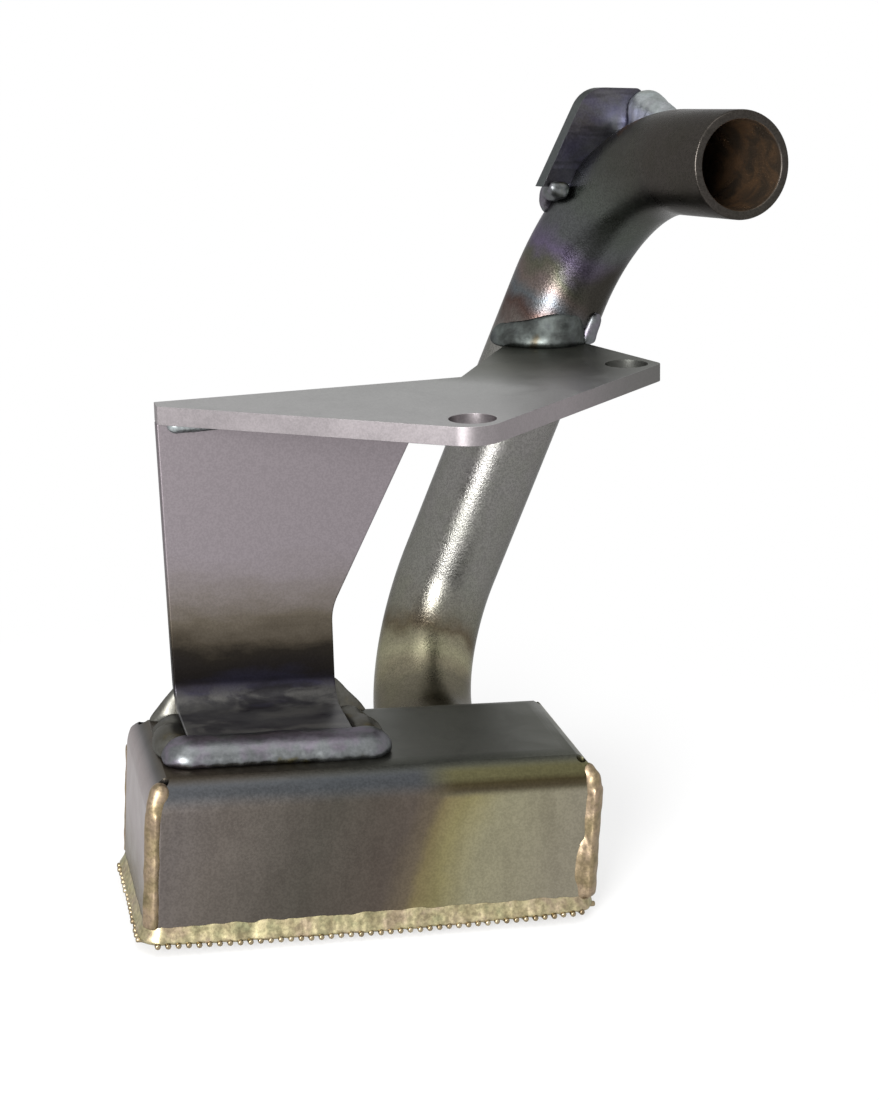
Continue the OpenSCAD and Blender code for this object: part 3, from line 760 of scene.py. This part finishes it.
@dataclass
class BentTube:
    """The suction tube: three straights and two bends, in millimetres."""

    start: Colour = (-11.5236, 12.1606, -74.4931)
    low: Colour = (-11.5236, 54.1606, -74.4931)
    high: Colour = (23.9764, 46.9606, 34.8069)
    end: Colour = (31.5822, 0.0007, 39.4714)
    bend_r: tuple[float, float] = (26.8, 34.4)
    outside: float = 9.525
    wall: float = 1.65
    rim: float = 0.4
    sides: int = 96
    bend_steps: int = 36

    def build(self) -> bpy.types.Object:
        """Sweeps the outer and inner walls, closes both ends and eases the open rim.

        Returns:
            The dressed piece.
        """
        bm = bmesh.new()
        self._sweep(bm, self.outside)
        bmesh.ops.recalc_face_normals(bm, faces=bm.faces)
        bmesh.ops.solidify(bm, geom=bm.faces[:], thickness=self.wall)
        bmesh.ops.recalc_face_normals(bm, faces=bm.faces)
        end, way = Vector(self.end), self.legs()[2][1].normalized()
        rim = [e for e in bm.edges if all(abs((v.co - end).dot(way)) < 0.01 for v in e.verts)
               and e.calc_face_angle(0.0) > 1.0]
        bmesh.ops.bevel(bm, geom=rim, offset=self.rim, offset_type="OFFSET", segments=3, profile=0.5,
                        affect="EDGES", clamp_overlap=True, material=-1)
        run, inside = bm.verts.layers.float.new("run"), bm.verts.layers.float.new("inside")
        for vert in bm.verts:
            station, off = self.station(vert.co)
            vert[run] = station * MM
            vert[inside] = 1.0 if off < self.outside - self.wall + 0.15 else 0.0
        to_metres(bm)
        return adopt(shown(bm, "bent_tube", 50.0), TubeSteel(), Slot.TUBE, "pickup_tube")

    def legs(self) -> list[tuple[Vector, Vector]]:
        """Start and direction times length of each straight between corners."""
        points = [Vector(p) for p in (self.start, self.low, self.high, self.end)]
        return [(a, b - a) for a, b in zip(points, points[1:])]

    def bends(self) -> list[tuple[Vector, Vector, float, float]]:
        """Works out both bends from the corners and radii.

        Returns:
            Centre, turning axis, angle and tangent length of each bend.
        """
        found = []
        legs = self.legs()
        for radius, (_, one), (corner, two) in zip(self.bend_r, legs, legs[1:]):
            into, out = one.normalized(), two.normalized()
            angle = into.angle(out)
            tangent = radius * math.tan(angle / 2)
            inward = (out - out.dot(into) * into).normalized()
            centre = corner - tangent * into + radius * inward
            found.append((centre, into.cross(out).normalized(), angle, tangent))
        return found

    def _sweep(self, bm: bmesh.types.BMesh, radius: float) -> None:
        """Draws the tube's outer skin from one ring.

        Args:
            bm: the empty shape to draw in.
            radius: the skin's radius.
        """
        legs, bends = self.legs(), self.bends()
        turn = Vector((0, 0, 1)).rotation_difference(legs[0][1]).to_matrix().to_4x4()
        bmesh.ops.create_circle(bm, cap_ends=False, segments=self.sides, radius=radius,
                                matrix=Matrix.Translation(legs[0][0]) @ turn)
        edges = bm.edges[:]
        for index, (_, leg) in enumerate(legs):
            length = leg.length - (bends[index - 1][3] if index else 0) - (bends[index][3] if index < 2 else 0)
            grown = bmesh.ops.extrude_edge_only(bm, edges=edges)["geom"]
            verts = [x for x in grown if isinstance(x, bmesh.types.BMVert)]
            bmesh.ops.translate(bm, vec=leg.normalized() * length, verts=verts)
            edges = [x for x in grown if isinstance(x, bmesh.types.BMEdge)
                     and all(v in verts for v in x.verts)]
            if index < 2:
                centre, axis, angle, _ = bends[index]
                last = bmesh.ops.spin(bm, geom=edges, cent=centre, axis=axis, angle=angle,
                                      steps=self.bend_steps, use_merge=False, use_duplicate=False)["geom_last"]
                edges = [x for x in last if isinstance(x, bmesh.types.BMEdge)]

    def station(self, point: Vector) -> tuple[float, float]:
        """Finds a point's place along the tube.

        Args:
            point: the point, in millimetres.

        Returns:
            How far along the tube it lies, and how far from the centre line.
        """
        legs, bends = self.legs(), self.bends()
        best = (0.0, 1e9)
        passed = 0.0
        for index, (corner, leg) in enumerate(legs):
            skip = bends[index - 1][3] if index else 0.0
            length = leg.length - skip - (bends[index][3] if index < 2 else 0.0)
            along = (point - corner).dot(leg.normalized()) - skip
            near = min(max(along, 0.0), length)
            off = (point - corner - leg.normalized() * (near + skip)).length
            if off < best[1]:
                best = (passed + near, off)
            passed += length
            if index < 2:
                centre, axis, angle, tangent = bends[index]
                spoke = point - centre - (point - centre).dot(axis) * axis
                from_spoke = (corner + leg - leg.normalized() * tangent) - centre
                swing = math.atan2(axis.dot(from_spoke.cross(spoke)), from_spoke.dot(spoke))
                if 0.0 <= swing <= angle:
                    off = (point - centre - spoke.normalized() * self.bend_r[index]).length
                    if off < best[1]:
                        best = (passed + swing * self.bend_r[index], off)
                passed += angle * self.bend_r[index]
        return best


@dataclass(frozen=True)
class Mound:
    """Extra metal on a bead: middle of its foot and its half sizes in millimetres.

    A taper makes it a flared fillet whose top has that share of its foot, and without one it is a round puddle,
    sunk below its foot by a share of its height.
    """

    place: Colour
    size: Colour
    taper: Optional[float] = None
    sunk: float = 1.0

    def add_to(self, bm: bmesh.types.BMesh) -> None:
        """Adds the mound's closed skin to a bead.

        Args:
            bm: the bead's shape.
        """
        at = Matrix.Translation(self.place) @ Matrix.Diagonal((*self.size, 1.0))
        if self.taper is None:
            ball = bmesh.ops.create_icosphere(bm, subdivisions=3, radius=1.0)["verts"]
            bmesh.ops.scale(bm, vec=(1.0, 1.0, self.sunk), verts=[v for v in ball if v.co.z < 0.0])
            bmesh.ops.transform(bm, matrix=at, verts=ball)
        else:
            bmesh.ops.create_cone(bm, cap_ends=True, cap_tris=True, segments=32, radius1=1.0,
                                  radius2=self.taper, depth=1.0, matrix=at @ Matrix.Translation((0, 0, 0.5)))


@dataclass
class LaidBead:
    """A weld or braze bead grown from its CAD run, softened and a little uneven.

    Sizes are in millimetres: how far lumps stand out, their spacing, how far the skin swells and its fineness.
    """

    node: str
    finish: Finish
    slot: Slot = Slot.WELD
    mounds: tuple[Mound, ...] = ()
    lump: float = 0.22
    lump_size: float = 2.6
    swell: float = 0.22
    voxel: float = 0.28
    smooth: int = 6

    def build(self) -> bpy.types.Object:
        """Remeshes the run, softens it and lays lumps on it.

        Returns:
            The dressed piece.
        """
        bm = self._even_skin()
        for _ in range(self.smooth):
            bmesh.ops.smooth_vert(bm, verts=bm.verts, factor=0.5, use_axis_x=True, use_axis_y=True,
                                  use_axis_z=True)
        bm.normal_update()
        moves = [vert.normal * (self.swell + self.lump * noise.noise(vert.co / self.lump_size))
                 for vert in bm.verts]
        for vert, move in zip(bm.verts, moves):
            vert.co += move
        to_metres(bm)
        return adopt(shown(bm, self.node + "_bead", 180.0), self.finish, self.slot, self.node)

    def _even_skin(self) -> bmesh.types.BMesh:
        """Joins the run and its mounds into one skin of even small faces.

        Returns:
            The skin.
        """
        mesh = bpy.data.meshes.new("run")
        bm = node_copy(self.node)
        for mound in self.mounds:
            mound.add_to(bm)
        bm.to_mesh(mesh)
        bm.free()
        form = bpy.data.objects.new("run", mesh)
        bpy.context.scene.collection.objects.link(form)
        voxels = form.modifiers.new("voxels", "REMESH")
        voxels.mode = "VOXEL"
        voxels.voxel_size = self.voxel
        skin = bpy.data.meshes.new_from_object(form.evaluated_get(bpy.context.evaluated_depsgraph_get()))
        bpy.data.objects.remove(form)
        bm = bmesh.new()
        bm.from_mesh(skin)
        bpy.data.meshes.remove(skin)
        bpy.data.meshes.remove(mesh)
        return bm


@dataclass
class FootWelds:
    """The beads round the web's foot on the box's top, in millimetres."""

    left_flare: tuple[Mound, ...] = (
        Mound((-59.4, 10.8, -61.2), (7.4, 2.2, 6.2), 0.40), Mound((-63.0, 3.6, -61.2), (4.0, 6.6, 3.0), 0.35),
        Mound((-64.6, -2.6, -60.8), (3.0, 6.2, 3.4), sunk=0.2))
    right_flare: tuple[Mound, ...] = (
        Mound((-36.6, 10.8, -61.2), (8.6, 2.2, 6.6), 0.30), Mound((-33.0, 3.6, -61.2), (4.8, 6.6, 3.0), 0.35),
        Mound((-31.6, -2.4, -60.8), (3.2, 6.4, 3.2), sunk=0.2))

    def build(self) -> None:
        """Lays the wide front bead, then the side beads that flare up the web's fold."""
        LaidBead("foot_weld_front", WeldMetal(), lump=0.20, lump_size=6.0, swell=0.50,
                 voxel=0.4, smooth=45).build()
        for side, flare in (("left", self.left_flare), ("right", self.right_flare)):
            LaidBead("foot_weld_" + side, SootyWeld(), mounds=flare, lump=0.20, lump_size=4.0, swell=0.35,
                     voxel=0.3, smooth=26).build()


@dataclass
class PlateWelds:
    """The beads that hold the tube and the web to the bolt plate, in millimetres."""

    tube_middle: tuple[float, float] = (12.65, 49.2)
    tube_r: float = 9.5
    first_x: float = 3.8
    last_x: float = 16.0
    puddles: int = 12
    puddle: tuple[float, float] = (2.4, 2.1)
    inset: float = 0.3
    foot_z: float = -0.6
    low: float = 3.6
    rise: float = 3.4

    def build(self) -> None:
        """Lays the bead up the tube's front, its tack, the web's rear fillet and its tack."""
        LaidBead("tube_plate_weld", GlossyWeld(), mounds=self.up_tube(), lump=0.18, lump_size=4.0, swell=0.30,
                 voxel=0.3, smooth=40).build()
        LaidBead("tube_plate_tack", WeldMetal(), lump=0.10, lump_size=2.0, swell=0.45,
                 voxel=0.2, smooth=16).build()
        LaidBead("web_plate_weld", WeldMetal(), lump=0.15, lump_size=2.0, swell=0.15,
                 voxel=0.2, smooth=4).build()
        LaidBead("web_plate_tack", PaleWeld(), lump=0.1, lump_size=2.0, swell=0.12,
                 voxel=0.15, smooth=3).build()

    def up_tube(self) -> tuple[Mound, ...]:
        """Overlapping puddles along the tube's front, each taller than the one before.

        Returns:
            The puddles.
        """
        found = []
        for index in range(self.puddles):
            share = index / (self.puddles - 1)
            x = self.first_x + (self.last_x - self.first_x) * share
            y = self.tube_middle[1] - math.sqrt(self.tube_r ** 2 - (x - self.tube_middle[0]) ** 2) + self.inset
            height = self.low + self.rise * math.sin(1.5 * share)
            found.append(Mound((x, y, self.foot_z), (*self.puddle, height), sunk=0.2))
        return tuple(found)


@dataclass
class TabWelds:
    """The welds between the drive tab and the tube, in millimetres."""

    under_tab: tuple[Mound, ...] = (
        Mound((11.2, 46.9, 27.2), (2.1, 2.1, 3.8)), Mound((11.0, 43.2, 28.4), (2.1, 5.4, 2.2)))

    def build(self) -> None:
        """Lays the pale upper fillet and the small bead under the tab's edge."""
        LaidBead("tab_weld_upper", PaleWeld(), lump=0.20, lump_size=4.0, swell=0.30,
                 voxel=0.3, smooth=26).build()
        LaidBead("tab_weld_lower", WeldMetal(), mounds=self.under_tab, lump=0.12, lump_size=2.0, swell=-0.60,
                 voxel=0.25, smooth=30).build()


@dataclass
class BoxSeams:
    """The tube's fillet on the box and the brazed corner seams with their raised ends, in millimetres."""

    front_left: tuple[Mound, ...] = (
        Mound((-68.7, -16.8, -65.6), (1.6, 1.6, 3.0)), Mound((-68.1, -16.2, -63.6), (1.7, 1.7, 2.2)))
    front_right: tuple[Mound, ...] = (
        Mound((5.7, -17.1, -65.8), (1.7, 1.7, 2.6)), Mound((5.0, -16.3, -64.0), (1.5, 1.5, 1.7)),
        Mound((5.6, -16.9, -71.5), (1.8, 1.66, 6.5)), Mound((5.1, -16.9, -80.8), (2.4, 1.78, 8.0)))
    rear_left: tuple[Mound, ...] = (Mound((-68.7, 13.3, -65.6), (1.3, 1.3, 2.6)),)
    voxel: float = 0.2

    def build(self) -> None:
        """Lays the fillet, then each seam."""
        LaidBead("tube_box_weld", SootyWeld(), lump=0.15, lump_size=2.0, swell=0.15,
                 voxel=0.22, smooth=4).build()
        self._seam("front_left", self.front_left, 0.15, 2.6, 0.10, 20)
        self._seam("front_right", self.front_right, 0.20, 2.4, 0.12, 16)
        self._seam("rear_left", self.rear_left, 0.12, 2.4, -0.10, 14)
        self._seam("rear_right", (), 0.12, 2.4, 0.0, 10)

    def _seam(self, corner: str, mounds: tuple[Mound, ...], lump: float, lump_size: float, swell: float,
              smooth: int) -> None:
        """Lays one corner seam.

        Args:
            corner: the corner's name.
            mounds: raised braze on the seam.
            lump: how far its lumps stand out.
            lump_size: the lumps' spacing.
            swell: how far the skin swells.
            smooth: smoothing steps.
        """
        LaidBead("corner_weld_" + corner, SeamBraze(), Slot.BRAZE, mounds, lump, lump_size, swell, self.voxel,
                 smooth).build()


@dataclass
class WireCloth:
    """The woven screen under the box, in millimetres."""

    pitch: float = 1.7
    wire_r: float = 0.50
    wave: float = 0.37
    overhang: float = 1.3
    sag: float = 0.7
    sides: int = 8
    steps: int = 3
    seed: int = 11
    stagger: float = 0.35
    end_length: float = 2.2
    end_flat: float = 0.35
    end_lift: float = 0.25

    def build(self) -> bpy.types.Object:
        """Weaves long and short wires that run a little past the walls.

        Returns:
            The dressed piece.
        """
        low, high = (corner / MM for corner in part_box("pickup_box"))
        middle = (low + high) / 2
        spans = (high.x - low.x, high.y - low.y)
        counts = [int((spans[1 - axis] - 1) / self.pitch) for axis in (0, 1)]
        bm = bmesh.new()
        for axis in (0, 1):
            length = spans[axis] + 2 * self.overhang
            wires = [self._wire(axis, length, side, counts[1 - axis]) for side in (1, -1)]
            for index in range(counts[axis]):
                start = len(bm.verts)
                bm.from_mesh(wires[(index + axis) % 2])
                bm.verts.ensure_lookup_table()
                shift = Vector((0.0, 0.0, 0.0))
                shift[1 - axis] = (index - (counts[axis] - 1) / 2) * self.pitch
                shift[axis] = self.stagger * noise.noise(Vector((index * 3.17, axis * 7.7, self.seed)))
                bmesh.ops.translate(bm, vec=shift, verts=bm.verts[start:])
            for mesh in wires:
                bpy.data.meshes.remove(mesh)
        for vert in bm.verts:
            vert.co.z -= self.sag * max(1 - (2 * vert.co.x / spans[0]) ** 2, 0.0)
        bmesh.ops.translate(bm, vec=(middle.x, middle.y, low.z - self.wave - self.wire_r), verts=bm.verts)
        to_metres(bm)
        return adopt(shown(bm, "wire_cloth", 60.0), ScreenWire(), Slot.SCREEN, "screen")

    def _wire(self, axis: int, length: float, side: int, crossed: int) -> bpy.types.Mesh:
        """One woven wire through the middle of the screen.

        Args:
            axis: 0 for a long wire, 1 for a short one.
            length: the wire's length.
            side: 1 to start over its first neighbour, -1 to start under it.
            crossed: how many wires it crosses.

        Returns:
            The wire's mesh.
        """
        bm = bmesh.new()
        turn = Matrix.Rotation(math.pi / 2, 4, "Y" if axis == 0 else "X")
        bmesh.ops.create_cone(bm, cap_ends=True, cap_tris=False, segments=self.sides, radius1=self.wire_r,
                              radius2=self.wire_r, depth=length, matrix=turn)
        rims = [e for e in bm.edges if abs(e.verts[0].co[axis] - e.verts[1].co[axis]) < 1e-4]
        bmesh.ops.bevel(bm, geom=rims, offset=self.wire_r * 0.5, offset_type="OFFSET", segments=2, profile=0.5,
                        affect="EDGES", clamp_overlap=True, material=-1)
        long_edges = [e for e in bm.edges if e.calc_length() > length / 2]
        cuts = int(length / self.pitch) * self.steps
        bmesh.ops.subdivide_edges(bm, edges=long_edges, cuts=cuts, use_grid_fill=True)
        for vert in bm.verts:
            from_end = length / 2 - abs(vert.co[axis])
            still = min(max(from_end / self.end_length - self.end_flat, 0.0), 1.0)
            weave = side * self.wave * math.cos(math.pi * (vert.co[axis] / self.pitch + (crossed - 1) / 2))
            vert.co.z += weave * still + self.end_lift * (1 - still)
        mesh = bpy.data.meshes.new("wire")
        bm.to_mesh(mesh)
        bm.free()
        return mesh


@dataclass
class BrazeFillet:
    """The uneven braze run that holds the screen all round the box's foot, in millimetres."""

    width: float = 0.95
    height: float = 2.1
    step: float = 0.4
    bump: float = 0.04
    bump_pitch: float = 1.7
    lump: float = 0.22
    lump_size: float = 2.8
    grit: float = 0.05
    grit_size: float = 0.8
    sag: float = 0.7
    corner_r: float = 3.0
    section: tuple[tuple[float, float], ...] = (
        (-0.5, 0.7), (0.03, 1.0), (0.26, 0.62), (0.66, 0.26), (1.0, 0.0), (0.92, -0.22), (0.2, -0.30),
        (-0.5, -0.30))

    def build(self) -> bpy.types.Object:
        """Wraps a grid round the foot as one closed run.

        Returns:
            The dressed piece.
        """
        low, high = (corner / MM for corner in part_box("pickup_box"))
        middle = (low + high) / 2
        half = Vector(((high.x - low.x) / 2, (high.y - low.y) / 2))
        around = 4 * (half.x + half.y - 2 * self.corner_r) + 2 * math.pi * self.corner_r
        count = int(around / self.step)
        bm = bmesh.new()
        sides = len(self.section)
        bmesh.ops.create_grid(bm, x_segments=count, y_segments=sides, size=0.5)
        bottom = Vector((middle.x, middle.y, low.z))
        for vert in bm.verts:
            turn = round((vert.co.x + 0.5) * count)
            part = self.section[round((vert.co.y + 0.5) * sides) % sides]
            vert.co = self._place(turn % count / count * around, part, half) + bottom
        bmesh.ops.remove_doubles(bm, verts=bm.verts, dist=0.0001)
        bmesh.ops.recalc_face_normals(bm, faces=bm.faces)
        to_metres(bm)
        return adopt(shown(bm, "braze_run", 70.0), Braze(), Slot.BRAZE, "screen_braze")

    def _foot(self, along: float, half: Vector) -> tuple[Vector, Vector]:
        """A point of the box's rounded foot and the way out from it.

        Args:
            along: distance round the foot.
            half: half the box's length and depth.

        Returns:
            The point and the outward direction.
        """
        turn = math.pi / 2 * self.corner_r
        way, out = Vector((1, 0, 0)), Vector((0, -1, 0))
        for index in range(4):
            reach, depth = (half.x, half.y) if index % 2 == 0 else (half.y, half.x)
            length = 2 * (reach - self.corner_r)
            if along <= length:
                return out * depth + way * (along - length / 2), out
            if along <= length + turn or index == 3:
                swing = min((along - length) / self.corner_r, math.pi / 2)
                spoke = out * math.cos(swing) + way * math.sin(swing)
                hub = out * (depth - self.corner_r) + way * (reach - self.corner_r)
                return hub + spoke * self.corner_r, spoke
            along -= length + turn
            way, out = -out, way
        return out * half.y, out

    def _place(self, along: float, part: tuple[float, float], half: Vector) -> Vector:
        """One point of the run.

        Args:
            along: distance round the foot.
            part: the point's place in the section.
            half: half the box's length and depth.

        Returns:
            The point, from the middle of the box's open bottom.
        """
        base, out = self._foot(along, half)
        lumps = 1 + self.lump * noise.noise(base / self.lump_size)
        lumps += self.grit * noise.noise(base / self.grit_size)
        scallop = 1 + self.bump * math.cos(2 * math.pi * along / self.bump_pitch)
        drop = self.sag * max(1 - (base.x / half.x) ** 2, 0.0) if part[1] < 0.3 else 0.0
        rise = Vector((0, 0, self.height * lumps * part[1] - drop))
        return base + out * (self.width * lumps * scallop * part[0]) + rise


@dataclass(frozen=True)
class Softbox:
    """One lamp: its place, the point that it faces, its width and height, and its power in watts."""

    name: str
    place: Colour
    aim: Colour
    size: tuple[float, float]
    power: float

    def build(self) -> None:
        """Hangs the lamp, turned to its aim."""
        data = bpy.data.lights.new(self.name, "AREA")
        data.shape, data.energy = "RECTANGLE", self.power
        data.size, data.size_y = self.size
        lamp = bpy.data.objects.new(self.name, data)
        lamp.location = self.place
        lamp.rotation_mode = "QUATERNION"
        lamp.rotation_quaternion = (Vector(self.aim) - Vector(self.place)).to_track_quat("-Z", "Y")
        bpy.context.scene.collection.objects.link(lamp)


@dataclass
class Studio:
    """Camera, lamps, floor and background."""

    eye: Colour = (-0.11111, -0.34566, 0.07764)
    right: Colour = (0.95608, -0.28721, 0.05848)
    up: Colour = (0.00868, 0.22720, 0.97381)
    focal_px: float = 2156.9
    centre_px: tuple[float, float] = (540.0, 412.0)
    image_px: tuple[int, int] = (879, 1100)
    sensor: float = 36.0
    room_light: float = 0.8
    floor_gap: float = 0.0002
    floor_half: float = 4.0
    floor_grey: float = 0.92
    shadow_middle: tuple[float, float] = (-0.03, 0.0)
    shadow_reach: tuple[float, float] = (0.05, 0.16)
    shadow_white: float = 0.6
    lamps: tuple[Softbox, ...] = (
        Softbox("key_strip", (-0.47, -0.72, 0.17), (0.0, 0.0, 0.02), (0.27, 0.50), 13.0),
        Softbox("top_softbox", (-0.10, -0.25, 0.80), (0.0, 0.0, 0.0), (0.50, 0.50), 2.0))

    def build(self) -> None:
        """Sets the whole studio up."""
        self._camera()
        self._world()
        self._floor()
        for lamp in self.lamps:
            lamp.build()
        bpy.context.scene.view_settings.view_transform = "Standard"

    def _camera(self) -> None:
        """The photograph's viewpoint."""
        data = bpy.data.cameras.new("photo_view")
        data.sensor_fit = "AUTO"
        data.sensor_width = self.sensor
        long_side = max(self.image_px)
        data.lens = self.focal_px / long_side * self.sensor
        data.shift_x = (self.image_px[0] / 2 - self.centre_px[0]) / long_side
        data.shift_y = (self.centre_px[1] - self.image_px[1] / 2) / long_side
        data.clip_start, data.clip_end = 0.01, 20.0
        camera = bpy.data.objects.new("photo_view", data)
        right, up = Vector(self.right).normalized(), Vector(self.up).normalized()
        back = right.cross(up)
        turn = Matrix((right, up, back)).transposed().to_4x4()
        camera.matrix_world = Matrix.Translation(Vector(self.eye)) @ turn
        bpy.context.scene.collection.objects.link(camera)
        bpy.context.scene.camera = camera

    @staticmethod
    def _seen(g: Graph) -> Socket:
        """Tells rays that see the background straight, in a mirror or through glass.

        Args:
            g: the graph to add to.

        Returns:
            1 for those rays and 0 for the others.
        """
        light = g.add("ShaderNodeLightPath").outputs
        seen = g.sum("MAXIMUM", light["Is Camera Ray"], light["Is Glossy Ray"])
        return g.sum("MAXIMUM", seen, light["Is Transmission Ray"])

    def _world(self) -> None:
        """A white room."""
        world = bpy.data.worlds.new("white_room")
        world.use_nodes = True
        bpy.context.scene.world = world
        g = Graph(world.node_tree)
        world.node_tree.nodes.clear()
        lit = g.add("ShaderNodeBackground", {"Color": (1.0, 1.0, 1.0, 1.0), "Strength": self.room_light})
        plain = g.add("ShaderNodeBackground", {"Color": (1.0, 1.0, 1.0, 1.0), "Strength": 1.0})
        both = g.add("ShaderNodeMixShader", {0: self._seen(g), 1: lit.outputs[0], 2: plain.outputs[0]})
        g.add("ShaderNodeOutputWorld", {"Surface": both.outputs[0]})

    def _floor(self) -> None:
        """A wide pale floor just under the screen."""
        bm = bmesh.new()
        bmesh.ops.create_grid(bm, x_segments=1, y_segments=1, size=self.floor_half)
        low = min(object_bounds()[0].z, CAD_BOX[0].z)
        bmesh.ops.translate(bm, vec=(0, 0, low - self.floor_gap), verts=bm.verts)
        floor = shown(bm, "pale_floor")
        made = bpy.data.materials.new("pale_floor")
        made.use_nodes = True
        g = Graph(made.node_tree)
        made.node_tree.nodes.clear()
        grey = (self.floor_grey, self.floor_grey, self.floor_grey)
        matte = g.add("ShaderNodeBsdfDiffuse", {"Color": grey})
        white = g.add("ShaderNodeEmission", {"Color": (1.0, 1.0, 1.0, 1.0), "Strength": 1.0})
        away = g.reach(g.place(), (*self.shadow_middle, low))
        share = g.sum("MULTIPLY", self._seen(g), g.span(away, *self.shadow_reach, self.shadow_white, 1.0))
        both = g.add("ShaderNodeMixShader", {0: share, 1: matte.outputs[0], 2: white.outputs[0]})
        g.add("ShaderNodeOutputMaterial", {"Surface": both.outputs[0]})
        floor.data.materials.append(made)
        floor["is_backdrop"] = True


def main() -> None:
    """Builds every piece, then the studio."""
    logging.basicConfig(level=logging.INFO)
    BentTube().build()
    EasedSheet("mounting_plate", "bolt_plate", PlateSteel(), Slot.PLATE, 0.3).build()
    EasedSheet("support_web", "folded_web", WebSteel(), Slot.WEB, 0.3).build()
    EasedSheet("drive_tab", "cut_tab", TabSteel(), Slot.TAB, 0.35).build()
    EasedSheet("pickup_box", "folded_box", BoxSheet(), Slot.BOX, 0.15).build()
    WireCloth().build()
    BrazeFillet().build()
    FootWelds().build()
    PlateWelds().build()
    TabWelds().build()
    BoxSeams().build()
    Studio().build()


if __name__ == "__main__":
    main()
